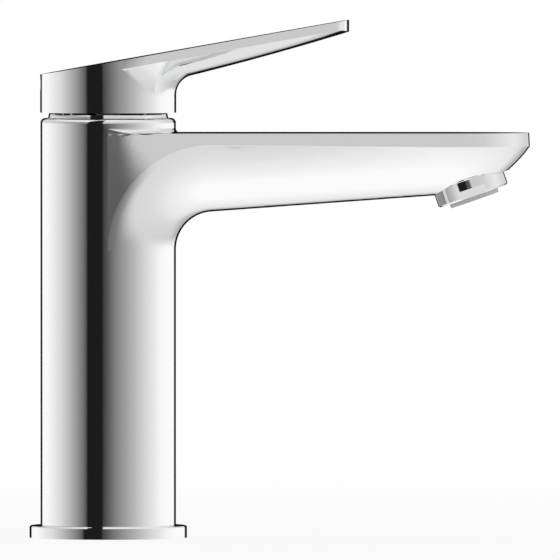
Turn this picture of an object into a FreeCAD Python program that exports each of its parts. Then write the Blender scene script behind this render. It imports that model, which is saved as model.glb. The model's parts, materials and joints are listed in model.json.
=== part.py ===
import FreeCAD, Part
import math
import os
import Sketcher

doc = FreeCAD.newDocument("BasinMixer")
V = FreeCAD.Vector

# Driving dimensions in millimetres: deck plane at z 0, pillar axis on z, spout towards +x
SIZES = {
    # pillar and base
    "pillar_radius": 21.5,
    "pillar_top": 133.2,
    "pillar_edge_round": 1.5,
    "base_radius": 25.0,
    "base_height": 3.9,
    "base_edge_round": 0.5,
    "base_edge_step": 0.15,
    "spigot_radius": 18.8,
    "fit_gap": 0.1,
    "gasket_height": 1.6,
    "gasket_inner": 20.4,
    "gasket_outer": 23.2,
    "hose_space_radius": 17.0,
    "floor_bottom": 76.0,
    "floor_top": 90.0,
    # spout
    "spout_top": 128.5,
    "elbow_radius": 12.0,
    "elbow_height": 91.5,
    "keel_slope": 4.14,
    "nose_start": 104.0,
    "spout_reach": 133.9,
    "nose_half_width": 20.1,
    "band_draft": 2.2,
    "corner_waist": 0.3,
    "corner_waist_run": 5.0,
    "crease_height": 124.2,
    "keel_height": 108.6,
    "keel_end_slope": 50.0,
    "keel_end_half": 14.4,
    "flank_bulge": 0.34,
    "wall": 2.5,
    "top_fillet": 1.5,
    # water ways and threads in the casting
    "chamber_radius": 17.6,
    "nut_bore_radius": 18.5,
    "nut_bore_bottom": 126.0,
    "inlet_thread_radius": 4.5,
    "inlet_thread_depth": 10.0,
    "inlet_port_radius": 2.4,
    "inlet_back": 3.0,
    "inlet_side": 7.5,
    "stud_thread_radius": 3.4,
    "stud_thread_depth": 10.0,
    "stud_front": 9.5,
    # aerator, measured along its own tilted axis from the facet it sits in
    "aerator_x": 114.6,
    "aerator_z": 112.35,
    "aerator_tilt": 19.2,
    "aerator_radius": 11.6,
    "aerator_drop": 4.1,
    "aerator_seat": 2.5,
    "aerator_thread": 10.85,
    "aerator_barrel": 7.8,
    "aerator_bore": 8.3,
    "aerator_flat": 10.65,
    "aerator_flat_height": 2.7,
    "aerator_boss": 12.95,
    "aerator_way": 7.8,
    "insert_drop": 4.8,
    "insert_radius": 7.95,
    "screen_height": 0.8,
    "screen_edge": 0.3,
    "washer_height": 0.7,
    "collar_chamfer": 0.5,
    "insert_lip": 1.2,
    "nozzle_recess": 0.6,
    # handle
    "handle_radius": 21.6,
    "handle_bottom": 134.9,
    "handle_back_top": 147.0,
    "lever_rise": 10.06,
    "lever_reach": 76.5,
    "lever_taper": 8.7,
    "lever_band": 2.74,
    "lever_tip_arc": 26.0,
    "lever_tip_corner": 4.5,
    "lever_draft": 2.5,
    "lever_inset": 0.06,
    "lever_middle": 45.0,
    "lever_keel_root": 141.3,
    "lever_keel_middle": 151.5,
    "lever_keel_tip": 161.2,
    "rim_inner": 20.5,
    "rim_top": 138.0,
    "hollow_radius": 19.0,
    "hollow_top": 144.5,
    "hub_radius": 8.0,
    "hub_bottom": 141.0,
    "screw_height": 143.9,
    "screw_radius": 2.0,
    "plug_radius": 2.5,
    "plug_depth": 2.0,
    "boss_bottom": 141.8,
    "boss_half": 4.5,
    # cartridge stack
    "pin_height": 124.0,
    "pin_radius": 1.5,
    "pin_half": 12.8,
    "stem_half": 4.0,
    "socket_play": 0.02,
    "socket_headroom": 0.2,
    "stem_top": 147.2,
    "stem_shoulder": 121.0,
    "stem_arm": 11.0,
    "ball_radius": 3.0,
    "neck_radius": 2.1,
    "ball_play": 0.12,
    "housing_radius": 15.5,
    "housing_flange": 17.5,
    "flange_bottom": 121.3,
    "flange_top": 127.0,
    "housing_bottom": 93.0,
    "housing_top": 130.4,
    "housing_bore": 13.8,
    "lid_bottom": 128.4,
    "lid_opening": 11.5,
    "lid_radius": 15.0,
    "seal_ring_radius": 16.45,
    "seal_wire": 1.05,
    "seal_height": 124.0,
    "seal_groove_half": 1.2,
    "seal_groove_play": 0.05,
    "base_plate_bottom": 91.0,
    "base_plate_radius": 15.4,
    "fixed_disc_bottom": 99.5,
    "fixed_disc_top": 104.0,
    "disc_gap": 0.05,
    "disc_split": 108.0,
    "disc_radius": 11.0,
    "disc_set_back": 2.3,
    "carrier_radius": 10.5,
    "carrier_top": 114.6,
    "rotor_bottom": 115.0,
    "rotor_shoulder": 128.2,
    "rotor_top": 131.5,
    "rotor_radius": 13.5,
    "rotor_neck": 11.2,
    "rotor_slot_half": 8.6,
    "rotor_slot_side": 4.1,
    "outlet_front": 6.5,
    "outlet_radius": 3.0,
    "outlet_height": 96.2,
    "nut_radius": 18.4,
    "nut_inner": 15.3,
    "nut_top": 133.1,
    "collar_radius": 19.1,
    "collar_top_radius": 18.75,
    "collar_inner": 12.6,
    "collar_spigot": 15.1,
    "collar_spigot_bottom": 130.7,
}

sheet = doc.addObject("Spreadsheet::Sheet", "Sizes")
for row, (alias, number) in enumerate(SIZES.items(), start=1):
    sheet.set("A%d" % row, alias)
    sheet.set("B%d" % row, str(number))
    sheet.setAlias("B%d" % row, alias)
doc.recompute()


def size(alias):
    return float(sheet.get(alias))


def linked(expression):
    for alias in SIZES:
        expression = expression.replace("<%s>" % alias, "Sizes.%s" % alias)
    return expression


def bind(obj, **cells):
    for name, expression in cells.items():
        obj.setExpression(name, linked(expression))
    return obj


def amount(expression):
    for alias in SIZES:
        expression = expression.replace("<%s>" % alias, "(%r)" % size(alias))
    return float(FreeCAD.Units.Quantity(expression).Value)


# A turned piece: a closed outline of (radius, height) expressions, turned about the z axis
def turned(name, outline):
    body = doc.addObject("PartDesign::Body", name)
    plane = [f for f in body.Origin.OriginFeatures if f.Role == "XZ_Plane"][0]
    sketch = body.newObject("Sketcher::SketchObject", name + "_outline")
    sketch.AttachmentSupport = [(plane, "")]
    sketch.MapMode = "FlatFace"
    points = [V(amount(r), amount(z), 0) for r, z in outline]
    count = len(points)
    for i in range(count):
        sketch.addGeometry(Part.LineSegment(points[i], points[(i + 1) % count]), False)
    for i in range(count):
        sketch.addConstraint(Sketcher.Constraint("Coincident", i, 2, (i + 1) % count, 1))
    for i, (r, z) in enumerate(outline):
        ways = (("DistanceX", r, points[i].x, -2), ("DistanceY", z, points[i].y, -1))
        for kind, text, number, axis in ways:
            if text == "0":
                sketch.addConstraint(Sketcher.Constraint("PointOnObject", i, 1, axis))
            else:
                index = sketch.addConstraint(Sketcher.Constraint(kind, -1, 1, i, 1, number))
                sketch.setExpression("Constraints[%d]" % index, linked(text))
    turn = body.newObject("PartDesign::Revolution", name + "_turn")
    turn.Profile = sketch
    turn.ReferenceAxis = (sketch, ["V_Axis"])
    turn.Angle = 360.0
    body.Tip = turn
    return body


def ring(name, outer, inner, low, high):
    return turned(name, [(inner, low), (outer, low), (outer, high), (inner, high)])


def rod(name, radius, x, y, low, high):
    tool = doc.addObject("Part::Cylinder", name)
    return bind(tool, **{"Radius": radius, "Height": "%s - (%s)" % (high, low),
                         "Placement.Base.x": x, "Placement.Base.y": y, "Placement.Base.z": low})


def block(name, x_low, x_high, y_half, low, high):
    tool = doc.addObject("Part::Box", name)
    return bind(tool, **{"Length": "%s - (%s)" % (x_high, x_low), "Width": "2 * (%s)" % y_half,
                         "Height": "%s - (%s)" % (high, low), "Placement.Base.x": x_low,
                         "Placement.Base.y": "-(%s)" % y_half, "Placement.Base.z": low})


def lying(tool, axis, angle):
    place = tool.Placement
    tool.Placement = FreeCAD.Placement(place.Base, FreeCAD.Rotation(axis, angle))
    return tool


def cut(name, base, *tools):
    joined = tools[0]
    if len(tools) > 1:
        joined = doc.addObject("Part::MultiFuse", name + "_tools")
        joined.Shapes = list(tools)
    result = doc.addObject("Part::Cut", name)
    result.Base = base
    result.Tool = joined
    return result


def fuse(name, *pieces):
    result = doc.addObject("Part::MultiFuse", name)
    result.Shapes = list(pieces)
    return result


nodes = {}


def node(name, obj):
    obj.Label = name
    nodes[name] = obj
    return obj


def feature(name, shape):
    obj = doc.addObject("Part::Feature", name)
    obj.Shape = shape
    return obj


# The casting: pillar, elbow and spout are solids that share flat faces, then become one
def casting():
    radius = size("pillar_radius")
    top = size("pillar_top")
    spout_top = size("spout_top")
    elbow_z = size("elbow_height")
    elbow_x = radius + size("elbow_radius")
    slope = math.radians(size("keel_slope"))
    elbow_up = V(-math.sin(slope), 0, math.cos(slope))
    elbow_axis = V(elbow_x, 0, elbow_z)
    nose_x = size("nose_start")
    wall = size("wall")
    draft = math.tan(math.radians(size("band_draft")))

    def arc(start, middle, end):
        return Part.Arc(start, middle, end).toShape()

    def line(start, end):
        return Part.LineSegment(start, end).toShape()

    # half of a section, as points (y, height) from the top's middle to the keel
    def half_section(top_h, half_top, half_low, crease_h, keel_h, keel_half, keel_end_h, bulge):
        run = half_low - keel_half
        rise = crease_h - keel_end_h
        length = math.hypot(run, rise)
        flank_middle = ((half_low + keel_half) / 2 + bulge * rise / length,
                        (crease_h + keel_end_h) / 2 - bulge * run / length)
        return {"top": top_h, "half_top": half_top, "half_low": half_low, "crease": crease_h,
                "flank": flank_middle, "keel_half": keel_half, "keel_end": keel_end_h, "keel": keel_h}

    def elbow_section(inset):
        r = radius - inset
        reach = math.cos(math.radians(45))
        end = elbow_x - r * reach
        section_top = (spout_top - elbow_z) / math.cos(slope) - inset
        s = half_section(section_top, r - draft * (section_top - elbow_x), r, elbow_x,
                         elbow_x - r, r * reach, end, 0)
        s["flank"] = (r * math.cos(math.radians(22.5)), elbow_x - r * math.sin(math.radians(22.5)))
        return s

    def nose_section(inset):
        turn = math.radians(size("keel_end_slope"))
        keel_radius = size("keel_end_half") / math.sin(turn) - inset
        keel = size("keel_height") + inset
        half = size("nose_half_width") - inset
        crease = size("crease_height")
        half_top = half - draft * (spout_top - inset - crease)
        return half_section(spout_top - inset, half_top, half, crease, keel,
                            keel_radius * math.sin(turn), keel + keel_radius * (1 - math.cos(turn)),
                            size("flank_bulge"))

    def section_wire(s, base, up):
        def at(y, h):
            return base + V(0, y, 0) + up * h
        edges = [line(at(-s["half_top"], s["top"]), at(s["half_top"], s["top"])),
                 line(at(s["half_top"], s["top"]), at(s["half_low"], s["crease"])),
                 arc(at(s["half_low"], s["crease"]), at(*s["flank"]), at(s["keel_half"], s["keel_end"])),
                 arc(at(s["keel_half"], s["keel_end"]), at(0, s["keel"]),
                     at(-s["keel_half"], s["keel_end"])),
                 arc(at(-s["keel_half"], s["keel_end"]), at(-s["flank"][0], s["flank"][1]),
                     at(-s["half_low"], s["crease"])),
                 line(at(-s["half_low"], s["crease"]), at(-s["half_top"], s["top"]))]
        return Part.Wire(edges)

    def spout_run(inset):
        near = section_wire(elbow_section(inset), elbow_axis, elbow_up)
        far = section_wire(nose_section(inset), V(nose_x, 0, 0), V(0, 0, 1))
        return Part.makeLoft([near, far], True, True)

    # the half section turned round the nose's upright axis, then stretched to the spout's reach
    def nose(inset):
        s = nose_section(inset)
        keel_radius = size("keel_end_half") / math.sin(math.radians(size("keel_end_slope"))) - inset
        half_turn = math.radians(size("keel_end_slope")) / 2

        def at(y, h):
            return V(0, y, h)
        edges = [line(at(0, s["top"]), at(s["half_top"], s["top"])),
                 line(at(s["half_top"], s["top"]), at(s["half_low"], s["crease"])),
                 arc(at(s["half_low"], s["crease"]), at(*s["flank"]), at(s["keel_half"], s["keel_end"])),
                 arc(at(s["keel_half"], s["keel_end"]),
                     at(keel_radius * math.sin(half_turn),
                        s["keel"] + keel_radius * (1 - math.cos(half_turn))),
                     at(0, s["keel"])),
                 line(at(0, s["keel"]), at(0, s["top"]))]
        turned_nose = Part.Face(Part.Wire(edges)).revolve(V(0, 0, 0), V(0, 0, 1), -180)
        stretch = FreeCAD.Matrix()
        stretch.A11 = (size("spout_reach") - inset - nose_x) / s["half_low"]
        shape = Part.Solid(turned_nose).transformGeometry(stretch)
        shape.translate(V(nose_x, 0, 0))
        return shape

    def half_disc(r, z, side):
        return Part.Face(Part.Wire([line(V(0, -r, z), V(0, r, z)),
                                    arc(V(0, r, z), V(side * r, 0, z), V(0, -r, z))]))

    def elbow(inset):
        disc = half_disc(radius - inset, elbow_z, 1)
        return disc.revolve(elbow_axis, V(0, 1, 0), 90 - size("keel_slope"))

    section = elbow_section(0)
    corner_top = elbow_axis + elbow_up * section["top"]
    corner_low = elbow_axis + elbow_up * section["crease"]
    mid_angle = math.radians(45)
    corner_mid = elbow_axis + V(-math.cos(mid_angle), 0, math.sin(mid_angle)) * elbow_x
    waist = size("corner_waist")
    waist_run = size("corner_waist_run")

    # each side of the corner is ruled from the elbow's arc up to a top edge that draws in behind the pillar
    def corner_side(sign):
        bottom = [p + V(0, sign * radius, 0) for p in (V(0, 0, elbow_z), corner_mid, corner_low)]
        poles = [V(0, sign * radius, spout_top), V(waist_run / 2, sign * radius, spout_top),
                 V(waist_run, sign * (radius - waist), spout_top),
                 V(corner_top.x, sign * section["half_top"], spout_top)]
        upper = Part.BezierCurve()
        upper.setPoles(poles)
        return arc(*bottom), upper.toShape(), bottom, poles

    arc_a, upper_a, low_a, high_a = corner_side(-1)
    arc_b, upper_b, low_b, high_b = corner_side(1)
    floor = Part.makeRuledSurface(arc_a, arc_b)
    roof = Part.Face(Part.Wire([upper_a, line(high_a[3], high_b[3]), upper_b, line(high_b[0], high_a[0])]))
    back_face = Part.makePolygon([low_a[0], high_a[0], high_b[0], low_b[0], low_a[0]])
    front_face = Part.makePolygon([low_a[2], high_a[3], high_b[3], low_b[2], low_a[2]])
    sides = [Part.makeRuledSurface(arc_a, upper_a), Part.makeRuledSurface(arc_b, upper_b)]
    corner = Part.Solid(Part.Shell(sides + [floor, roof, Part.Face(back_face), Part.Face(front_face)]))
    if corner.Volume < 0:
        corner.reverse()

    edge = size("pillar_edge_round")
    crown = Part.makeCylinder(radius, top - spout_top, V(0, 0, spout_top))
    rim = [e for e in crown.Edges if e.BoundBox.ZMin > top - 0.1 and e.Closed]
    crown = crown.makeFillet(edge, rim)

    fillet = size("top_fillet")
    sweep = fillet * (1 - math.cos(math.radians(45)))
    cove = Part.Face(Part.Wire([
        line(V(radius - 1, 0, spout_top), V(radius + fillet, 0, spout_top)),
        arc(V(radius + fillet, 0, spout_top), V(radius + sweep, 0, spout_top + sweep),
            V(radius, 0, spout_top + fillet)),
        line(V(radius, 0, spout_top + fillet), V(radius - 1, 0, spout_top + fillet)),
        line(V(radius - 1, 0, spout_top + fillet), V(radius - 1, 0, spout_top))]))
    cove = cove.revolve(V(0, 0, 0), V(0, 0, 1), 360)
    front = Part.makeBox(2 * radius, 2 * radius, 2 * fillet, V(0, -radius, spout_top - 0.5 * fillet))
    cove = cove.common(front)

    low = size("base_height")
    outer = Part.makeCylinder(radius, elbow_z - low, V(0, 0, low))
    back = half_disc(radius, elbow_z, -1).extrude(V(0, 0, spout_top - elbow_z))
    spigot_low = size("gasket_height")
    spigot = Part.makeCylinder(size("spigot_radius"), low - spigot_low, V(0, 0, spigot_low))
    outer = outer.multiFuse([back, elbow(0), corner, spout_run(0), nose(0), crown, spigot, cove])

    # the facet under the nose that the aerator looks out of
    tilt = FreeCAD.Rotation(V(0, 1, 0), -size("aerator_tilt"))
    seat = FreeCAD.Placement(V(size("aerator_x"), 0, size("aerator_z")), tilt)

    def along(r, inner_end, outer_end):
        tool = Part.makeCylinder(r, outer_end + inner_end, V(0, 0, -outer_end))
        tool.Placement = seat.multiply(tool.Placement)
        return tool
    below = Part.makeBox(80, 80, 30, V(-40, -40, -30))
    below.Placement = seat.multiply(below.Placement)
    outer = outer.cut(below)

    barrel = size("aerator_barrel")
    clear = size("fit_gap")
    thread_depth = barrel + size("washer_height")
    hollow = elbow(wall).multiFuse([spout_run(wall), nose(wall)])
    hollow = hollow.cut(along(size("aerator_boss"), thread_depth + 1, 40))
    bores = [
        hollow,
        Part.makeCylinder(size("hose_space_radius"), size("floor_bottom"), V(0, 0, 0)),
        Part.makeCylinder(size("chamber_radius"), top - size("floor_top"), V(0, 0, size("floor_top"))),
        Part.makeCylinder(size("nut_bore_radius"), top, V(0, 0, size("nut_bore_bottom"))),
        Part.makeCylinder(size("stud_thread_radius"), size("stud_thread_depth"),
                          V(size("stud_front"), 0, size("floor_bottom"))),
        along(size("aerator_radius") + clear, size("aerator_seat"), 20),
        along(size("aerator_thread") + clear, thread_depth, 20),
        along(size("aerator_way"), thread_depth + 2, 20)]
    for y in (-size("inlet_side"), size("inlet_side")):
        foot = V(-size("inlet_back"), y, size("floor_bottom"))
        bores.append(Part.makeCylinder(size("inlet_thread_radius"), size("inlet_thread_depth"), foot))
        bores.append(Part.makeCylinder(size("inlet_port_radius"), size("floor_top") - foot.z + 1, foot))
    for tool in bores:
        outer = outer.cut(tool)
    return outer.removeSplitter()


# The handle: a cap on the pillar's line with a boat-shaped lever running forward out of it
def handle_shape():
    radius = size("handle_radius")
    bottom = size("handle_bottom")
    rise = math.tan(math.radians(size("lever_rise")))
    taper = math.radians(size("lever_taper"))
    reach = size("lever_reach")

    def top_at(x):
        return size("handle_back_top") + (x + radius) * rise

    def half_at(x):
        return (radius - size("lever_inset")) / math.cos(taper) - x * math.tan(taper)

    # height of the lever's underside on its middle line: three places along it
    root_x = radius * math.sin(taper)
    middle = size("lever_middle")
    underside = ((root_x, size("lever_keel_root")), (middle, size("lever_keel_middle")),
                 (reach + 2, size("lever_keel_tip")))
    sections = []
    for x, keel in underside:
        band = top_at(x) - size("lever_band")
        half = half_at(x)
        share = min(1.0, (x - root_x) / (middle - root_x))
        half_top = half - size("lever_band") * math.tan(math.radians(size("lever_draft") * share))
        corners = [V(x, half_top, top_at(x)), V(x, half, band), V(x, -half, band), V(x, -half_top, top_at(x))]
        sections.append(Part.Wire([
            Part.LineSegment(corners[3], corners[0]).toShape(),
            Part.LineSegment(corners[0], corners[1]).toShape(),
            Part.Arc(corners[1], V(x, 0, keel), corners[2]).toShape(),
            Part.LineSegment(corners[2], corners[3]).toShape()]))
    lever = Part.makeLoft(sections, True, False)

    tip = size("lever_tip_arc")
    end = Part.makeCylinder(tip, 60, V(reach - tip, 0, 120)).fuse(
        Part.makeBox(reach - tip + 10, 60, 60, V(-10, -30, 120)))
    lever = lever.common(end)
    corners = [e for e in lever.Edges if abs(e.tangentAt(e.FirstParameter).z) > 0.99
               and e.BoundBox.XMin > reach - 8 and e.BoundBox.ZLength > 1]
    lever = lever.makeFillet(size("lever_tip_corner"), corners)

    cap = Part.makeCylinder(radius, 40, V(0, 0, bottom))
    over = Part.makeBox(120, 120, 60, V(0, -60, 0))
    over.Placement = FreeCAD.Placement(V(-radius - 10, 0, top_at(-radius - 10)),
                                       FreeCAD.Rotation(V(0, 1, 0), -size("lever_rise")))
    outer = cap.cut(over).fuse(lever).removeSplitter()

    hollow = Part.makeCylinder(size("rim_inner"), size("rim_top") - bottom, V(0, 0, bottom)).fuse(
        Part.makeCylinder(size("hollow_radius"), size("hollow_top") - bottom, V(0, 0, bottom)))
    hub = Part.makeCylinder(size("hub_radius"), 20, V(0, 0, size("hub_bottom")))
    boss_half = size("boss_half")
    boss = Part.makeBox(radius, 2 * boss_half, 20, V(-radius, -boss_half, size("boss_bottom")))
    outer = outer.cut(hollow.cut(hub).cut(boss))
    half = size("stem_half") + size("socket_play")
    socket_top = size("stem_top") + size("socket_headroom")
    socket = Part.makeBox(2 * half, 2 * half, socket_top - bottom, V(-half, -half, bottom))
    screw_foot = V(-radius, 0, size("screw_height"))
    screw_way = Part.makeCylinder(size("screw_radius"), radius, screw_foot, V(1, 0, 0))
    plug_way = Part.makeCylinder(size("plug_radius"), size("plug_depth") + 1,
                                 V(-radius - 1, 0, size("screw_height")), V(1, 0, 0))
    return outer.cut(socket).cut(screw_way).cut(plug_way)


node("mixer_body", feature("mixer_body_casting", casting()))
node("handle", feature("handle_casting", handle_shape()))

# base ring with a rubber gasket let into its underside
base_ring = turned("base_ring_turned", [
    ("<spigot_radius> + <fit_gap>", "0"), ("<gasket_inner>", "0"), ("<gasket_inner>", "<gasket_height>"),
    ("<gasket_outer>", "<gasket_height>"), ("<gasket_outer>", "0"), ("<base_radius>", "0"),
    ("<base_radius>", "<base_height> - <base_edge_round>"),
    ("<base_radius> - <base_edge_step>", "<base_height> - <base_edge_step>"),
    ("<base_radius> - <base_edge_round>", "<base_height>"), ("<spigot_radius> + <fit_gap>", "<base_height>")])
node("base_ring", base_ring)
node("base_gasket", ring("base_gasket_turned", "<gasket_outer> - <fit_gap>", "<gasket_inner> + <fit_gap>",
                         "0", "<gasket_height>"))

# cartridge housing, with its groove for the sealing ring and the way out for mixed water
housing = turned("housing_turned", [
    ("<housing_bore>", "<housing_bottom>"), ("<housing_radius>", "<housing_bottom>"),
    ("<housing_radius>", "<flange_bottom>"), ("<housing_flange>", "<flange_bottom>"),
    ("<housing_flange>", "<seal_height> - <seal_groove_half>"),
    ("<seal_ring_radius> - <seal_wire> - <seal_groove_play>", "<seal_height> - <seal_groove_half>"),
    ("<seal_ring_radius> - <seal_wire> - <seal_groove_play>", "<seal_height> + <seal_groove_half>"),
    ("<housing_flange>", "<seal_height> + <seal_groove_half>"),
    ("<housing_flange>", "<flange_top>"), ("<lid_radius>", "<flange_top>"), ("<lid_radius>", "<housing_top>"),
    ("<lid_opening>", "<housing_top>"), ("<lid_opening>", "<lid_bottom>"),
    ("<housing_bore>", "<lid_bottom>")])
housing_port = lying(rod("housing_port", "<outlet_radius>", "0", "0", "0", "<housing_flange>"),
                     V(0, 1, 0), 90)
housing_port.Placement.Base = V(0, 0, size("outlet_height"))
housing_port.setExpression("Placement.Base.z", linked("<outlet_height>"))
node("cartridge_housing", cut("housing_cut", housing, housing_port))

node("housing_seal", turned("housing_seal_turned", [
    ("<seal_ring_radius> - <seal_wire>", "<seal_height> - <seal_wire> / 2"),
    ("<seal_ring_radius> - <seal_wire> / 2", "<seal_height> - <seal_wire>"),
    ("<seal_ring_radius> + <seal_wire> / 2", "<seal_height> - <seal_wire>"),
    ("<seal_ring_radius> + <seal_wire>", "<seal_height> - <seal_wire> / 2"),
    ("<seal_ring_radius> + <seal_wire>", "<seal_height> + <seal_wire> / 2"),
    ("<seal_ring_radius> + <seal_wire> / 2", "<seal_height> + <seal_wire>"),
    ("<seal_ring_radius> - <seal_wire> / 2", "<seal_height> + <seal_wire>"),
    ("<seal_ring_radius> - <seal_wire>", "<seal_height> + <seal_wire> / 2")]))

# cartridge base: two water inlets, and one outlet that turns out through the side
plate = turned("plate_turned", [
    ("0", "<base_plate_bottom>"), ("<base_plate_radius>", "<base_plate_bottom>"),
    ("<base_plate_radius>", "<housing_bottom>"), ("<housing_bore> - <fit_gap>", "<housing_bottom>"),
    ("<housing_bore> - <fit_gap>", "<fixed_disc_bottom>"), ("0", "<fixed_disc_bottom>")])


def inlets(name, low, high):
    return [rod("%s_inlet_%d" % (name, i), "<inlet_port_radius>", "-<inlet_back>", "%d * <inlet_side>" % s,
                low, high) for i, s in enumerate((-1, 1))]


plate_out = rod("plate_outlet", "<outlet_radius>", "<outlet_front>", "0", "<outlet_height>",
                "<fixed_disc_bottom> + 1")
plate_side = lying(rod("plate_side", "<outlet_radius>", "<outlet_front>", "0", "0", "<housing_flange>"),
                   V(0, 1, 0), 90)
plate_side.setExpression("Placement.Base.z", linked("<outlet_height>"))
node("cartridge_base", cut("plate_cut", plate, plate_out, plate_side,
                           *inlets("plate", "<base_plate_bottom> - 1", "<fixed_disc_bottom> + 1")))

seals = []
for i, s in enumerate((-1, 1)):
    beside = "%d * <inlet_side>" % s
    outer = rod("inlet_seal_outer_%d" % i, "<inlet_port_radius> + 2", "-<inlet_back>", beside,
                "<floor_top>", "<base_plate_bottom>")
    inner = rod("inlet_seal_inner_%d" % i, "<inlet_port_radius> + 0.2", "-<inlet_back>", beside,
                "<floor_top> - 1", "<base_plate_bottom> + 1")
    seals.append(cut("inlet_seal_%d" % i, outer, inner))
inlet_seals = doc.addObject("Part::Compound", "inlet_seal_pair")
inlet_seals.Links = seals
node("inlet_seals", inlet_seals)

# ceramic discs: the fixed one has the ports, the moving one bridges them from above
fixed = turned("fixed_disc_turned", [
    ("0", "<fixed_disc_bottom>"), ("<housing_bore> - <fit_gap>", "<fixed_disc_bottom>"),
    ("<housing_bore> - <fit_gap>", "<fixed_disc_top>"), ("0", "<fixed_disc_top>")])
node("fixed_disc", cut("fixed_disc_cut", fixed,
                       rod("fixed_outlet", "<outlet_radius>", "<outlet_front>", "0",
                           "<fixed_disc_bottom> - 1", "<fixed_disc_top> + 1"),
                       *inlets("fixed", "<fixed_disc_bottom> - 1", "<fixed_disc_top> + 1")))
node("moving_disc", cut("moving_disc_cut",
                        rod("moving_disc_blank", "<disc_radius>", "-<disc_set_back>", "0",
                            "<fixed_disc_top> + <disc_gap>", "<disc_split>"),
                        rod("moving_disc_bridge", "<disc_radius> - 3", "-<disc_set_back>", "0",
                            "<fixed_disc_top> - 1", "<fixed_disc_top> + 2")))
node("disc_carrier", cut("carrier_cut",
                         rod("carrier_blank", "<carrier_radius>", "-<disc_set_back>", "0",
                             "<disc_split>", "<carrier_top>"),
                         block("carrier_slot", "-<ball_radius> - <ball_play>", "<ball_radius> + <ball_play>",
                               "<ball_radius> + <ball_play>", "<disc_split> + 1.6", "<carrier_top> + 1")))

# rotor: turns in the housing, and its pin carries the stem
rotor = turned("rotor_turned", [
    ("0", "<rotor_bottom>"), ("<rotor_radius>", "<rotor_bottom>"), ("<rotor_radius>", "<rotor_shoulder>"),
    ("<rotor_neck>", "<rotor_shoulder>"), ("<rotor_neck>", "<rotor_top>"), ("0", "<rotor_top>")])


def cross_rod(name, radius, half, height):
    tool = doc.addObject("Part::Cylinder", name)
    bind(tool, Radius=radius, Height="2 * (%s)" % half)
    tool.Placement = FreeCAD.Placement(V(0, amount(half), 0), FreeCAD.Rotation(V(1, 0, 0), 90))
    return bind(tool, **{"Placement.Base.y": half, "Placement.Base.z": height})


node("rotor", cut("rotor_cut", rotor,
                  block("rotor_slot", "-<rotor_slot_half>", "<rotor_slot_half>", "<rotor_slot_side>",
                        "<rotor_bottom> - 1", "<rotor_top> + 1"),
                  cross_rod("rotor_pin_hole", "<pin_radius>", "<rotor_radius> + 1", "<pin_height>")))
node("tilt_pin", cross_rod("tilt_pin_rod", "<pin_radius>", "<pin_half>", "<pin_height>"))

# stem: a square bar on the pin, with a ball below that pushes the disc carrier
ball = doc.addObject("Part::Sphere", "stem_ball")
bind(ball, **{"Radius": "<ball_radius>", "Placement.Base.z": "<pin_height> - <stem_arm>"})
stem = fuse("stem_fused", ball,
            block("stem_bar", "-<stem_half>", "<stem_half>", "<stem_half>", "<stem_shoulder>", "<stem_top>"),
            rod("stem_neck", "<neck_radius>", "0", "0", "<pin_height> - <stem_arm>", "<stem_shoulder> + 1"))
node("lever_stem", cut("stem_cut", stem,
                       cross_rod("stem_pin_hole", "<pin_radius> + 0.04", "<stem_half> + 1", "<pin_height>")))

# the nut that clamps the cartridge, and the bright trim ring over it
node("retaining_nut", ring("nut_turned", "<nut_radius>", "<nut_inner>", "<flange_top>", "<nut_top>"))
node("collar_ring", turned("collar_turned", [
    ("<collar_inner>", "<collar_spigot_bottom>"), ("<collar_spigot>", "<collar_spigot_bottom>"),
    ("<collar_spigot>", "<pillar_top>"), ("<collar_radius>", "<pillar_top>"),
    ("<collar_top_radius>", "<handle_bottom>"), ("<collar_inner>", "<handle_bottom>")]))

# grub screw through the handle's back, and the plug that hides it
grub = lying(rod("grub_rod", "<screw_radius>", "-<handle_radius> + 6", "0", "0",
                 "<handle_radius> - 6 - <stem_half>"), V(0, 1, 0), 90)
grub.setExpression("Placement.Base.z", linked("<screw_height>"))
node("grub_screw", grub)
plug = lying(rod("plug_rod", "<plug_radius> - 0.05", "-<handle_radius> + <fit_gap>", "0", "0",
                 "<plug_depth> - <fit_gap>"), V(0, 1, 0), 90)
plug.setExpression("Placement.Base.z", linked("<screw_height>"))
node("screw_plug", plug)

# aerator pieces stand on their own axis first, then lean into the facet under the nose
collar = turned("aerator_turned", [
    ("<aerator_bore>", "-<aerator_drop>"), ("<aerator_radius> - <collar_chamfer>", "-<aerator_drop>"),
    ("<aerator_radius>", "-<aerator_drop> + <collar_chamfer>"), ("<aerator_radius>", "<aerator_seat> - 1.1"),
    ("<aerator_radius> - 0.9", "<aerator_seat> - 0.1"), ("<aerator_thread>", "<aerator_seat> - 0.1"),
    ("<aerator_thread>", "<aerator_barrel>"), ("<aerator_bore>", "<aerator_barrel>")])
flats = []
for i, s in enumerate((-1, 1)):
    flat = block("aerator_flat_%d" % i, "-<aerator_radius>", "<aerator_radius>", "2",
                 "-<aerator_drop> - 1", "-<aerator_drop> + <aerator_flat_height>")
    flat.setExpression("Placement.Base.y", linked("%d * (<aerator_flat> + 2) - 2" % s))
    flats.append(flat)
aerator_collar = cut("aerator_collar_cut", collar, *flats)
insert = turned("insert_turned", [
    ("<insert_radius> - <insert_lip>", "-<insert_drop> + 2.4"),
    ("<insert_radius> - <insert_lip>", "-<insert_drop>"),
    ("<insert_radius>", "-<insert_drop>"), ("<aerator_bore> - <fit_gap>", "-<insert_drop> + 2"),
    ("<aerator_bore> - <fit_gap>", "<aerator_barrel> - 1"),
    ("<insert_radius> - <insert_lip>", "<aerator_barrel> - 1")])
nozzle = turned("nozzle_turned", [
    ("0", "-<insert_drop> + <nozzle_recess>"),
    ("<insert_radius> - <insert_lip> - <fit_gap>", "-<insert_drop> + <nozzle_recess>"),
    ("<insert_radius> - <insert_lip> - <fit_gap>", "<aerator_barrel> - 3"), ("0", "<aerator_barrel> - 3")])
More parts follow.
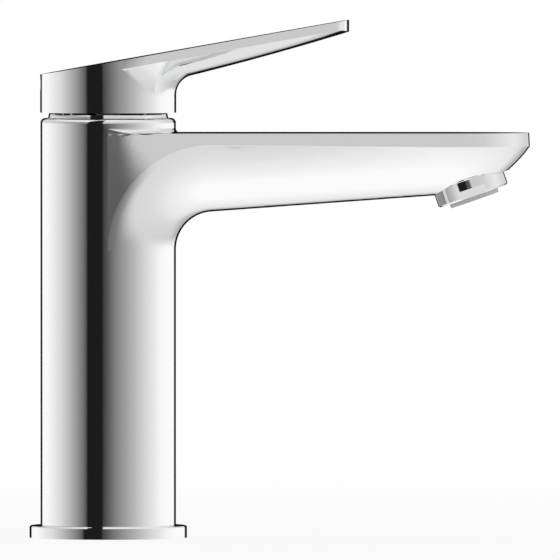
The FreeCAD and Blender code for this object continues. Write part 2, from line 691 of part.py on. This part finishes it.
screen = turned("screen_turned", [
    ("0", "<aerator_barrel> - 1"), ("<aerator_bore> - 0.2", "<aerator_barrel> - 1"),
    ("<aerator_bore> - 0.2", "<aerator_barrel> - 1 + <screen_edge>"),
    ("0", "<aerator_barrel> - 1 + <screen_height>")])
washer = ring("washer_turned", "<aerator_thread> - 0.1", "<aerator_bore> - 0.2", "<aerator_barrel>",
              "<aerator_barrel> + <washer_height>")
lean = FreeCAD.Placement(V(size("aerator_x"), 0, size("aerator_z")),
                         FreeCAD.Rotation(V(0, 1, 0), -size("aerator_tilt")))
for name, piece in (("aerator_collar", aerator_collar), ("aerator_insert", insert),
                    ("aerator_nozzle", nozzle), ("aerator_screen", screen), ("aerator_washer", washer)):
    piece.Placement = lean
    node(name, piece)

doc.recompute()
for obj in doc.Objects:
    if "Invalid" in obj.State or "Error" in obj.State:
        raise RuntimeError("failed: %s %s" % (obj.Name, obj.State))
for name, obj in nodes.items():
    shape = obj.Shape
    if shape.isNull() or not shape.isValid() or not shape.Solids:
        raise RuntimeError("bad shape: %s" % name)

os.makedirs("parts", exist_ok=True)
for name, obj in nodes.items():
    obj.Shape.exportStep("parts/%s.step" % name)
    box = obj.Shape.BoundBox
    print("%-18s solids %d  volume %9.1f  z %.2f to %.2f  x %.2f to %.2f" % (
        name, len(obj.Shape.Solids), obj.Shape.Volume, box.ZMin, box.ZMax, box.XMin, box.XMax))
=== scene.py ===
import json
import math

import bmesh
import bpy
from mathutils import Matrix, Vector
from mathutils.bvhtree import BVHTree


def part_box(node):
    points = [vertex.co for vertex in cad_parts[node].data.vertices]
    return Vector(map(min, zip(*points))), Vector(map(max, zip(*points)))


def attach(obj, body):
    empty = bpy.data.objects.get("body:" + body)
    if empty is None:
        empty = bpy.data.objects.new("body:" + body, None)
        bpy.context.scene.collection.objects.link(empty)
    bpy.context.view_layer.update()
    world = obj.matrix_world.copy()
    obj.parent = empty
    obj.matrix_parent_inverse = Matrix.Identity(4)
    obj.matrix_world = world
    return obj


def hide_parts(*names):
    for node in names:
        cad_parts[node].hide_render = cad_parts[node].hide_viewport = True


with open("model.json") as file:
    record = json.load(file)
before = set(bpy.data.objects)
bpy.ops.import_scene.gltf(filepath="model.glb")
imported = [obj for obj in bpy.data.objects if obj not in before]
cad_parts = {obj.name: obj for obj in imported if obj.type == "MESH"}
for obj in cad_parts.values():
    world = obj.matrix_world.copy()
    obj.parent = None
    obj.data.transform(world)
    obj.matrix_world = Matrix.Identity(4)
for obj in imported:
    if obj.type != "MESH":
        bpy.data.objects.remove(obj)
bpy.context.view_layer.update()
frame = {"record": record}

mm = 0.001
seamGap = 1e-7  # metres; points of a CAD mesh that are closer than this are one point
keyDigits = 7   # decimals of a metre to which two places count as the same

# finishes

evenly = (1.0, 1.0, 1.0)
chromePlate = {
    "colour": (0.955, 0.958, 0.962, 1.0),
    "rough": 0.035,
    "smear": 0.012,               # how far polishing marks lift the roughness
    "markScale": 55.0,
    "markDetail": 3.0,
    "stretch": (1.0, 1.0, 0.35),  # the marks run upright
}
rubber = {
    "dark": (0.016, 0.016, 0.017, 1.0),
    "light": (0.032, 0.032, 0.033, 1.0),
    "rough": (0.6, 0.8),
    "grainScale": 900.0,
    "grainDetail": 4.0,
}
plastic = {
    "cloudScale": 260.0,
    "cloudDetail": 3.0,
    "roughMore": 0.12,
}
turnedMetal = {
    "lineScale": 120.0,
    "lineDetail": 3.0,
    "roughMore": 0.15,
    "stretch": (1.0, 1.0, 18.0),  # the tool's lines run round
}


def nodeMaterial(name):
    mat = bpy.data.materials.new(name)
    mat.use_nodes = True
    tree = mat.node_tree
    return mat, tree.nodes, tree.links, tree.nodes["Principled BSDF"]


def objectCoords(nodes, links, scale):
    coords = nodes.new("ShaderNodeTexCoord")
    mapping = nodes.new("ShaderNodeMapping")
    mapping.inputs["Scale"].default_value = scale
    links.new(coords.outputs["Object"], mapping.inputs["Vector"])
    return mapping.outputs["Vector"]


def noiseOn(nodes, links, vector, scale, detail):
    noise = nodes.new("ShaderNodeTexNoise")
    noise.inputs["Scale"].default_value = scale
    noise.inputs["Detail"].default_value = detail
    links.new(vector, noise.inputs["Vector"])
    return noise.outputs["Fac"]


def spread(nodes, links, source, low, high):
    remap = nodes.new("ShaderNodeMapRange")
    remap.inputs["To Min"].default_value = low
    remap.inputs["To Max"].default_value = high
    links.new(source, remap.inputs["Value"])
    return remap.outputs["Result"]


def colourBetween(nodes, links, source, dark, light):
    ramp = nodes.new("ShaderNodeValToRGB")
    ramp.color_ramp.elements[0].color = dark
    ramp.color_ramp.elements[1].color = light
    links.new(source, ramp.inputs["Fac"])
    return ramp.outputs["Color"]


def makeChrome(spec):
    mat, nodes, links, bsdf = nodeMaterial("chromePlate")
    bsdf.inputs["Base Color"].default_value = spec["colour"]
    bsdf.inputs["Metallic"].default_value = 1.0
    vector = objectCoords(nodes, links, spec["stretch"])
    marks = noiseOn(nodes, links, vector, spec["markScale"], spec["markDetail"])
    rough = spread(nodes, links, marks, spec["rough"], spec["rough"] + spec["smear"])
    links.new(rough, bsdf.inputs["Roughness"])
    return mat


def makeRubber(spec):
    mat, nodes, links, bsdf = nodeMaterial("blackRubber")
    vector = objectCoords(nodes, links, evenly)
    grain = noiseOn(nodes, links, vector, spec["grainScale"], spec["grainDetail"])
    colour = colourBetween(nodes, links, grain, spec["dark"], spec["light"])
    links.new(colour, bsdf.inputs["Base Color"])
    links.new(spread(nodes, links, grain, *spec["rough"]), bsdf.inputs["Roughness"])
    return mat


def makePlastic(spec, name, dark, light, rough):
    mat, nodes, links, bsdf = nodeMaterial(name)
    vector = objectCoords(nodes, links, evenly)
    cloud = noiseOn(nodes, links, vector, spec["cloudScale"], spec["cloudDetail"])
    links.new(colourBetween(nodes, links, cloud, dark, light), bsdf.inputs["Base Color"])
    links.new(spread(nodes, links, cloud, rough, rough + spec["roughMore"]), bsdf.inputs["Roughness"])
    return mat


def makeMetal(spec, name, colour, rough):
    mat, nodes, links, bsdf = nodeMaterial(name)
    bsdf.inputs["Base Color"].default_value = colour
    bsdf.inputs["Metallic"].default_value = 1.0
    vector = objectCoords(nodes, links, spec["stretch"])
    lines = noiseOn(nodes, links, vector, spec["lineScale"], spec["lineDetail"])
    links.new(spread(nodes, links, lines, rough, rough + spec["roughMore"]), bsdf.inputs["Roughness"])
    return mat


# by the material slot of the CAD nodes
finishes = {
    "chrome": makeChrome(chromePlate),
    "black_rubber": makeRubber(rubber),
    "grey_plastic": makePlastic(plastic, "greyPlastic",
                                (0.42, 0.43, 0.45, 1.0), (0.48, 0.49, 0.51, 1.0), 0.42),
    "light_plastic": makePlastic(plastic, "lightPlastic",
                                 (0.62, 0.63, 0.64, 1.0), (0.68, 0.69, 0.70, 1.0), 0.35),
    "white_ceramic": makePlastic(plastic, "lappedCeramic",
                                 (0.80, 0.80, 0.77, 1.0), (0.86, 0.86, 0.84, 1.0), 0.18),
    "brass": makeMetal(turnedMetal, "turnedBrass", (0.80, 0.62, 0.32, 1.0), 0.22),
    "steel": makeMetal(turnedMetal, "plainSteel", (0.62, 0.62, 0.61, 1.0), 0.26),
}
slotOf = {row["node"]: row["material_slot"] for row in frame["record"]["subparts"]}
for nodeName, slotName in slotOf.items():
    nodeData = bpy.data.objects[nodeName].data
    nodeData.materials.clear()
    nodeData.materials.append(finishes[slotName])
print("finishes on", len(slotOf), "nodes")


def finishPiece(shape, name, body, slotName, smoothAngle):
    bmesh.ops.recalc_face_normals(shape, faces=shape.faces)
    data = bpy.data.meshes.new(name)
    shape.to_mesh(data)
    shape.free()
    data.materials.append(finishes[slotName])
    data.shade_smooth()
    data.set_sharp_from_angle(angle=math.radians(smoothAngle))
    piece = bpy.data.objects.new(name, data)
    bpy.context.scene.collection.objects.link(piece)
    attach(piece, body)
    return piece


# copies of CAD meshes, for pieces that take a node's place with a small change

def cornerKey(point, centre):
    return tuple(round(c, keyDigits) for c in tuple(point) + tuple(centre))


def mergedCopy(nodeName):
    # the mesh with its seams closed, and for each corner of each face its place, the face's middle
    # and the exact normal
    source = bpy.data.objects[nodeName].data
    exact = {}
    for polygon in source.polygons:
        for loop in polygon.loop_indices:
            point = source.vertices[source.loops[loop].vertex_index].co
            exact[cornerKey(point, polygon.center)] = source.corner_normals[loop].vector.copy()
    shape = bmesh.new()
    shape.from_mesh(source)
    bmesh.ops.remove_doubles(shape, verts=shape.verts, dist=seamGap)
    data = bpy.data.meshes.new(nodeName)
    shape.to_mesh(data)
    shape.free()
    corners = []
    for polygon in data.polygons:
        for loop in polygon.loop_indices:
            point = data.vertices[data.loops[loop].vertex_index].co
            normal = exact.get(cornerKey(point, polygon.center), polygon.normal)
            corners.append((point.copy(), polygon.center.copy(), normal.copy()))
    return data, corners


def placeCopy(data, normals, name, nodeName, body):
    data.shade_smooth()
    data.normals_split_custom_set(normals)
    data.materials.clear()
    data.materials.append(finishes[slotOf[nodeName]])
    piece = bpy.data.objects.new(name, data)
    bpy.context.scene.collection.objects.link(piece)
    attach(piece, body)
    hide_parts(nodeName)


def sideOf(y):
    return 1.0 if y > 0.0 else -1.0


def easeStep(value, low, high):
    share = min(1.0, max(0.0, (value - low) / (high - low)))
    return share * share * (3.0 - 2.0 * share)


# the casting: its elbow leans under by a hair where it leaves the flat corner, as a polished blend does

castElbow = {
    "axis": (33.5, 91.5),      # mm, the line that the elbow bends round: x and z
    "arc": 33.5,               # mm from that line to the corner's lower edge
    "creaseEnd": (104.0, 124.2),  # mm, where the edge's straight stretch along the spout ends
    "lean": 5.5,               # degrees under the edge
    "fade": 3.0,               # mm over which the lean dies out
    "leanFrom": (3.0, 19.0),   # mm along the spout where it grows
    "leanBend": (5.0, 50.0),   # degrees of the bend over which it grows
    "leanTo": (31.0, 46.0),    # mm along the spout where it goes again
    "probe": 0.02,             # mm, step for the slope of the lean
    "inward": 0.01,            # share of the way from a face's corner to its middle where the slope is taken
}


def underEdge(x, z, spec):
    # how far a point lies below the corner's edge, in mm
    axisX, axisZ = spec["axis"]
    if x < axisX:
        return spec["arc"] - math.hypot(x - axisX, z - axisZ)
    endX, endZ = spec["creaseEnd"]
    crease = axisZ + spec["arc"] + (endZ - axisZ - spec["arc"]) * (x - axisX) / (endX - axisX)
    return crease - z


def leanIn(x, z, spec):
    # how far the elbow's side moves inwards at a point, in mm
    if x < 0.0 or z < spec["axis"][1]:
        return 0.0
    depth = underEdge(x, z, spec)
    if depth <= 0.0:
        return 0.0
    slope = math.tan(math.radians(spec["lean"])) * easeStep(x, *spec["leanFrom"])
    slope *= 1.0 - easeStep(x, *spec["leanTo"])
    if x < spec["axis"][0]:
        bend = math.degrees(math.atan2(z - spec["axis"][1], spec["axis"][0] - x))
        slope *= easeStep(bend, *spec["leanBend"])
    return slope * spec["fade"] * (1.0 - math.exp(-depth / spec["fade"]))


def makeCasting(spec):
    data, corners = mergedCopy("mixer_body")
    step = spec["probe"]
    normals = []
    for point, centre, normal in corners:
        x, z = centre.x / mm, centre.z / mm
        if underEdge(x, z, spec) > 0.0:
            inX = point.x / mm + (x - point.x / mm) * spec["inward"]
            inZ = point.z / mm + (z - point.z / mm) * spec["inward"]
            side = sideOf(point.y)
            slopeX = (leanIn(inX + step, inZ, spec) - leanIn(inX - step, inZ, spec)) / (2.0 * step)
            slopeZ = (leanIn(inX, inZ, spec) - leanIn(inX, inZ - step, spec)) / step
            normal += Vector((side * slopeX * normal.y, 0.0, side * slopeZ * normal.y))
        normals.append(normal.normalized())
    for vertex in data.vertices:
        vertex.co.y -= sideOf(vertex.co.y) * leanIn(vertex.co.x / mm, vertex.co.z / mm, spec) * mm
    placeCopy(data, normals, "castBody", "mixer_body", "faucet")


makeCasting(castElbow)
print("casting polished")

# the round where the lever's belly runs into the front of the cap: a ball rolled along the corner

leverRoot = {
    "radius": 6.3,            # mm, straight ahead
    "sideRadius": 17.0,       # mm at the sides, where it runs along the lever's crease
    "growth": (20.0, 60.0),   # degrees either side of straight ahead over which it widens
    "ends": 80.0,             # degrees either side where it stops
    "stations": 81,           # arcs from end to end
    "steps": 14,              # strips across an arc
    "sunk": 0.3,              # mm that its back edges sit inside the handle
    "crease": (148.09, 10.06),  # mm above the deck at the axis, and its rise in degrees
    "lowest": 130.0,          # mm above the deck, where the ball's way up starts
    "halvings": 40,           # of that way, until the ball touches
    "undersideFrom": 141.0,   # mm above the deck, lower faces aren't the lever's underside
    "facesDown": -0.25,       # nor are faces whose normal has a greater z
    "smooth": 35.0,
}


def undersideTree(handle, spec):
    # only the faces under the lever, so that the ball doesn't feel the cap
    corners = [v.co for v in handle.data.vertices]
    lowest = spec["undersideFrom"] * mm
    faces = [tuple(p.vertices) for p in handle.data.polygons
             if p.normal.z < spec["facesDown"] and p.center.z > lowest and p.center.x > 0.0]
    return BVHTree.FromPolygons(corners, faces)


def rollBall(tree, capRadius, angle, radius, spec):
    # raises the ball along the cap until it touches the lever, but never above the crease
    across = Vector((math.cos(angle), math.sin(angle), 0.0))
    creaseHeight, rise = spec["crease"]
    low = spec["lowest"] * mm
    high = creaseHeight * mm + across.x * capRadius * math.tan(math.radians(rise))
    for _ in range(spec["halvings"]):
        height = (low + high) / 2
        centre = across * (capRadius + radius) + Vector((0.0, 0.0, height))
        touch, _, _, gap = tree.find_nearest(centre)
        if gap > radius:
            low = height
        else:
            high = height
    return across, centre, touch


def makeLeverRoot(spec):
    handle = bpy.data.objects["handle"]
    capRadius = -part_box("handle")[0][0]
    tree = undersideTree(handle, spec)
    sunk = spec["sunk"] * mm
    shape = bmesh.new()
    rings = []
    for i in range(spec["stations"]):
        turn = spec["ends"] * (2.0 * i / (spec["stations"] - 1) - 1.0)
        grown = easeStep(abs(turn), *spec["growth"])
        radius = (spec["radius"] + (spec["sideRadius"] - spec["radius"]) * grown) * mm
        across, centre, touch = rollBall(tree, capRadius, math.radians(turn), radius, spec)
        start = -across
        end = (touch - centre).normalized()
        arc = [centre + start.slerp(end, k / spec["steps"]) * radius for k in range(spec["steps"] + 1)]
        inside = across * (capRadius - sunk)
        back = [
            arc[-1] + end * sunk,
            inside + Vector((0, 0, arc[-1].z + sunk)),
            inside + Vector((0, 0, arc[0].z)),
        ]
        verts = [shape.verts.new(p) for p in arc + back]
        rings.append([shape.edges.new(pair) for pair in zip(verts, verts[1:] + verts[:1])])
    for one, other in zip(rings, rings[1:]):
        bmesh.ops.bridge_loops(shape, edges=one + other)
    for ring in (rings[0], rings[-1]):
        bmesh.ops.contextual_create(shape, geom=ring)
    finishPiece(shape, "leverRoot", "lever", "chrome", spec["smooth"])


makeLeverRoot(leverRoot)
print("lever root rolled")

# the aerator's collar and insert: the spanner flats look down a little, the insert looks out further

aerator = {
    "seat": (114.6, 112.35),   # mm, middle of the facet that it looks out of: x and z
    "lean": 19.2,              # degrees
    "flat": 10.65,             # mm from the axis to a spanner flat
    "flatNear": 0.01,          # mm within which a point lies on a flat
    "flatFacing": 0.999,       # least y of a flat's normal
    "flatTop": -1.4,           # mm along the aerator's axis
    "flatLean": 9.0,           # degrees that it looks down
    "lipFrom": -4.5,           # mm along the axis, the insert below this moves
    "lipMore": 0.7,            # mm further out
}


def aeratorAxis(spec):
    lean = math.radians(spec["lean"])
    x, z = spec["seat"]
    return Vector((x * mm, 0.0, z * mm)), Vector((-math.sin(lean), 0.0, math.cos(lean)))


def onFlat(y, spec):
    return abs(abs(y) - spec["flat"] * mm) < spec["flatNear"] * mm


def makeCollar(spec):
    seat, axis = aeratorAxis(spec)
    data, corners = mergedCopy("aerator_collar")
    lean = math.radians(spec["flatLean"])
    normals = []
    for point, centre, normal in corners:
        if abs(normal.y) > spec["flatFacing"] and onFlat(centre.y, spec):
            normal = normal * math.cos(lean) - axis * math.sin(lean)
        normals.append(normal)
    for vertex in data.vertices:
        below = spec["flatTop"] * mm - (vertex.co - seat).dot(axis)
        if onFlat(vertex.co.y, spec) and below > 0.0:
            vertex.co.y -= sideOf(vertex.co.y) * below * math.tan(lean)
    placeCopy(data, normals, "collarPiece", "aerator_collar", "faucet")


def makeInsert(spec):
    seat, axis = aeratorAxis(spec)
    data, corners = mergedCopy("aerator_insert")
    for vertex in data.vertices:
        if (vertex.co - seat).dot(axis) < spec["lipFrom"] * mm:
            vertex.co -= axis * spec["lipMore"] * mm
    placeCopy(data, [normal for point, centre, normal in corners], "insertPiece", "aerator_insert", "faucet")


makeCollar(aerator)
makeInsert(aerator)
print("aerator trimmed")

# the outlet grid inside the aerator: a slab of six-sided cells, each sunk to a pocket

outletGrid = {
    "face": -4.2,      # mm along the aerator's axis, down from the facet
    "back": 4.8,
    "reach": 6.6,      # mm from the axis
    "cell": 0.92,      # mm from a cell's middle to its corner
    "sides": 6,
    "within": 0.9,     # share of that length that has to fit inside the reach
    "wall": 0.13,
    "pocket": 2.2,
    "join": 0.01,      # mm within which corners of neighbours are one
    "smooth": 30.0,
}


def makeOutletGrid(spec, holder):
    shape = bmesh.new()
    stepX = spec["cell"] * 1.5  # columns and rows of a honeycomb
    stepY = spec["cell"] * math.sqrt(3.0)
    count = int(spec["reach"] / stepX) + 1
    for column in range(-count, count + 1):
        for row in range(-count, count + 1):
            spot = Vector((column * stepX, (row + 0.5 * (column % 2)) * stepY, spec["face"]))
            if math.hypot(spot.x, spot.y) + spec["cell"] * spec["within"] > spec["reach"]:
                continue
            bmesh.ops.create_circle(shape, cap_ends=True, segments=spec["sides"], radius=spec["cell"],
                                    matrix=Matrix.Translation(spot))
    bmesh.ops.remove_doubles(shape, verts=shape.verts, dist=spec["join"])
    slab = bmesh.ops.extrude_face_region(shape, geom=list(shape.faces))
    raised = [v for v in slab["geom"] if isinstance(v, bmesh.types.BMVert)]
    bmesh.ops.translate(shape, verts=raised, vec=(0, 0, spec["back"] - spec["face"]))
    mouths = [f for f in shape.faces
              if len(f.verts) == spec["sides"] and f.calc_center_median().z < spec["face"] + spec["join"]]
    bmesh.ops.inset_individual(shape, faces=mouths, thickness=spec["wall"], use_even_offset=True)
    pockets = bmesh.ops.extrude_discrete_faces(shape, faces=mouths)["faces"]
    for face in pockets:
        bmesh.ops.translate(shape, verts=face.verts, vec=(0, 0, spec["pocket"]))
    seat, _ = aeratorAxis(holder)
    turn = Matrix.Rotation(-math.radians(holder["lean"]), 4, "Y")
    place = Matrix.Translation(seat) @ turn @ Matrix.Scale(mm, 4)
    bmesh.ops.transform(shape, matrix=place, verts=shape.verts)
    grid = finishPiece(shape, "outletGrid", "faucet", slotOf["aerator_nozzle"], spec["smooth"])
    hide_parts("aerator_nozzle")


makeOutletGrid(outletGrid, aerator)
print("outlet grid cut")

# studio: a pale tent with grey walls, a dark flag left of the camera, and a dark field behind the object
# that draws the outlines of polished metal; heights and bearings in degrees, greys as displayed

studio = {
    "floorSize": 3.0,
    "floorColour": (0.92, 0.92, 0.92, 1.0),
    "floorRough": 0.9,
    "floorKeep": 0.12,            # how much of the object's shadow the floor keeps
    "floorFade": (0.04, 0.9),     # metres from the axis over which the floor turns plain white
    "flagSides": (-36.0, -9.0),   # bearing from the camera, minus to the left
    "flagSidesSoft": (2.5, 1.5),  # half the width of the left and the right edge
    "flagHeights": (-74.0, 76.0),
    "flagHeightsSoft": (6.0, 6.0),
    "flagGrey": 0.11,
    "fieldSpread": (24.0, 31.0),  # how far from straight behind the dark field reaches
    "fieldGrey": 0.06,
    # walls at the object's own height, by bearing
    "levelGreys": ((-180, 1.0), (-125, 0.99), (-90, 0.875), (-64, 0.69), (-42, 0.43), (-34, 0.20),
                   (-10, 0.20), (0, 0.36), (20, 0.565), (41, 0.70), (64, 0.84), (99, 0.975),
                   (120, 1.0), (180, 1.0)),
    # walls above, by bearing
    "upperGreys": ((-180, 0.86), (-130, 0.84), (-100, 0.78), (-70, 0.66), (-45, 0.56), (-22, 0.81),
                   (20, 0.80), (45, 0.82), (60, 0.87), (90, 0.93), (130, 0.84), (180, 0.86)),
    "upperFrom": (-0.45, 0.80),   # heights over which they begin
    "overhead": (23.0, 44.0),     # heights over which they turn into the lighter roof
    "overheadGrey": 0.92,
    # ground below, by height, and what its sides take from that, by bearing
    "lowerGreys": ((-90, 1.0), (-72, 1.0), (-50, 0.945), (-30, 0.91), (-14, 0.88), (-5, 0.865), (0, 0.85)),
    "lowerFrom": (-1.7, -14.0),
    "lowerSides": ((-180, 0.78), (-140, 0.66), (-100, 0.62), (-60, 0.86), (-40, 1.0), (125, 0.94),
                   (150, 0.80), (180, 0.84)),
    "lowerSidesTo": (-45.0, -26.0),
}


def displayToLight(grey):
    # the sRGB curve
    return grey / 12.92 if grey <= 0.04045 else ((grey + 0.055) / 1.055) ** 2.4


class Wiring:
    # short calls for a node tree; a number in place of a socket is set on the node
    def __init__(self, tree):
        self.nodes = tree.nodes
        self.links = tree.links

    def math(self, operation, first, second=None):
        node = self.nodes.new("ShaderNodeMath")
        node.operation = operation
        for socket, value in zip(node.inputs, (first, second)):
            if value is None:
                continue
            if isinstance(value, (int, float)):
                socket.default_value = value
            else:
                self.links.new(value, socket)
        return node.outputs[0]

    def ease(self, value, low, high):
        node = self.nodes.new("ShaderNodeMapRange")
        node.interpolation_type = "SMOOTHSTEP"
        node.inputs["From Min"].default_value = low
        node.inputs["From Max"].default_value = high
        self.links.new(value, node.inputs["Value"])
        return node.outputs["Result"]

    def band(self, value, ends, soft):
        rising = self.ease(value, ends[0] - soft[0], ends[0] + soft[0])
        falling = self.ease(value, ends[1] + soft[1], ends[1] - soft[1])
        return self.math("MULTIPLY", rising, falling)

    def greys(self, angle, stops):
        low, high = stops[0][0], stops[-1][0]
        span = self.math("DIVIDE", self.math("SUBTRACT", angle, low), high - low)
        node = self.nodes.new("ShaderNodeValToRGB")
        ramp = node.color_ramp
        while len(ramp.elements) < len(stops):
            ramp.elements.new(0.5)  # anywhere, each gets its place below
        for element, (place, grey) in zip(ramp.elements, stops):
            element.position = (place - low) / (high - low)
            light = displayToLight(grey)
            element.color = (light, light, light, 1.0)
        self.links.new(span, node.inputs["Fac"])
        return node.outputs["Color"]

    def mix(self, factor, first, second, blendType="MIX"):
        node = self.nodes.new("ShaderNodeMix")
        node.data_type = "RGBA"
        node.blend_type = blendType
        self.links.new(factor, node.inputs["Factor"])
        colourSockets = (node.inputs[6], node.inputs[7])  # the node's other inputs are for other data types
        for socket, value in zip(colourSockets, (first, second)):
            if isinstance(value, float):
                light = displayToLight(value)
                socket.default_value = (light, light, light, 1.0)
            else:
                self.links.new(value, socket)
        return node.outputs[2]


def makeWorld(spec):
    world = bpy.data.worlds.new("softStudio")
    bpy.context.scene.world = world
    world.use_nodes = True
    wire = Wiring(world.node_tree)
    coords = wire.nodes.new("ShaderNodeTexCoord")
    split = wire.nodes.new("ShaderNodeSeparateXYZ")
    wire.links.new(coords.outputs["Generated"], split.inputs[0])
    x, y, z = split.outputs
    bearing = wire.math("DEGREES", wire.math("ARCTAN2", x, wire.math("MULTIPLY", y, -1.0)))
    height = wire.math("DEGREES", wire.math("ARCSINE", z))
    tent = wire.greys(bearing, spec["levelGreys"])
    upper = wire.greys(bearing, spec["upperGreys"])
    upper = wire.mix(wire.ease(height, *spec["overhead"]), upper, spec["overheadGrey"])
    tent = wire.mix(wire.ease(height, *spec["upperFrom"]), tent, upper)
    lower = wire.greys(wire.math("MINIMUM", height, 0.0), spec["lowerGreys"])
    lowerSides = wire.greys(bearing, spec["lowerSides"])
    lower = wire.mix(wire.ease(height, *spec["lowerSidesTo"]), lower, lowerSides, "MULTIPLY")
    tent = wire.mix(wire.ease(height, *spec["lowerFrom"]), tent, lower)
    besideFlag = wire.band(bearing, spec["flagSides"], spec["flagSidesSoft"])
    levelWithFlag = wire.band(height, spec["flagHeights"], spec["flagHeightsSoft"])
    tent = wire.mix(wire.math("MULTIPLY", besideFlag, levelWithFlag), tent, spec["flagGrey"])
    fromBehind = wire.math("DEGREES", wire.math("ARCCOSINE", y))
    near, far = spec["fieldSpread"]
    tent = wire.mix(wire.ease(fromBehind, far, near), tent, spec["fieldGrey"])
    path = wire.nodes.new("ShaderNodeLightPath")
    tent = wire.mix(path.outputs["Is Camera Ray"], tent, 1.0)  # the camera sees plain white
    wire.links.new(tent, wire.nodes["Background"].inputs["Color"])


def makeFloor(spec):
    shape = bmesh.new()
    bmesh.ops.create_grid(shape, x_segments=1, y_segments=1, size=spec["floorSize"])
    data = bpy.data.meshes.new("studioFloor")
    shape.to_mesh(data)
    shape.free()
    floor = bpy.data.objects.new("studioFloor", data)
    bpy.context.scene.collection.objects.link(floor)
    mat, nodes, links, bsdf = nodeMaterial("paleFloor")
    bsdf.inputs["Base Color"].default_value = spec["floorColour"]
    bsdf.inputs["Roughness"].default_value = spec["floorRough"]
    wire = Wiring(mat.node_tree)
    coords = nodes.new("ShaderNodeTexCoord")
    length = nodes.new("ShaderNodeVectorMath")
    length.operation = "LENGTH"
    links.new(coords.outputs["Object"], length.inputs[0])
    plain = nodes.new("ShaderNodeEmission")
    plain.inputs["Strength"].default_value = 1.0
    near, far = spec["floorFade"]
    kept = wire.math("MULTIPLY", wire.ease(length.outputs["Value"], far, near), spec["floorKeep"])
    white = wire.math("SUBTRACT", 1.0, kept)
    path = nodes.new("ShaderNodeLightPath")
    blend = nodes.new("ShaderNodeMixShader")
    links.new(wire.math("MULTIPLY", white, path.outputs["Is Camera Ray"]), blend.inputs["Fac"])
    links.new(bsdf.outputs[0], blend.inputs[1])
    links.new(plain.outputs[0], blend.inputs[2])
    links.new(blend.outputs[0], nodes["Material Output"].inputs["Surface"])
    data.materials.append(mat)
    floor.visible_glossy = False


makeWorld(studio)
makeFloor(studio)
print("studio ready")

# camera: side view, spout to the right, a touch above level

shot = {
    "distance": 7.5,        # metres
    "elevation": 1.15,      # degrees
    "pixels": 560.0,        # width and height of the picture
    "pixelsPerMm": 3.15,
    "axisPixel": 108.2,     # the pillar's axis, from the left
    "deckPixel": 537.5,     # the deck plane, from the top
    "sensor": 36.0,
    "clip": (0.01, 100.0),  # metres
}


def makeCamera(spec):
    data = bpy.data.cameras.new("sideView")
    cam = bpy.data.objects.new("sideView", data)
    bpy.context.scene.collection.objects.link(cam)
    width = spec["pixels"] / spec["pixelsPerMm"] * mm
    middleX = (spec["pixels"] / 2 - spec["axisPixel"]) / spec["pixelsPerMm"] * mm
    middleZ = (spec["deckPixel"] - spec["pixels"] / 2) / spec["pixelsPerMm"] * mm
    tilt = math.radians(spec["elevation"])
    aim = Vector((middleX, 0.0, middleZ))
    back = Vector((0.0, -math.cos(tilt), math.sin(tilt)))
    data.sensor_width = spec["sensor"]
    data.lens = data.sensor_width * spec["distance"] / width
    cam.location = aim + back * spec["distance"]
    cam.rotation_euler = (-back).to_track_quat("-Z", "Y").to_euler()
    data.clip_start, data.clip_end = spec["clip"]
    bpy.context.scene.camera = cam


makeCamera(shot)
bpy.context.scene.view_settings.view_transform = "Standard"
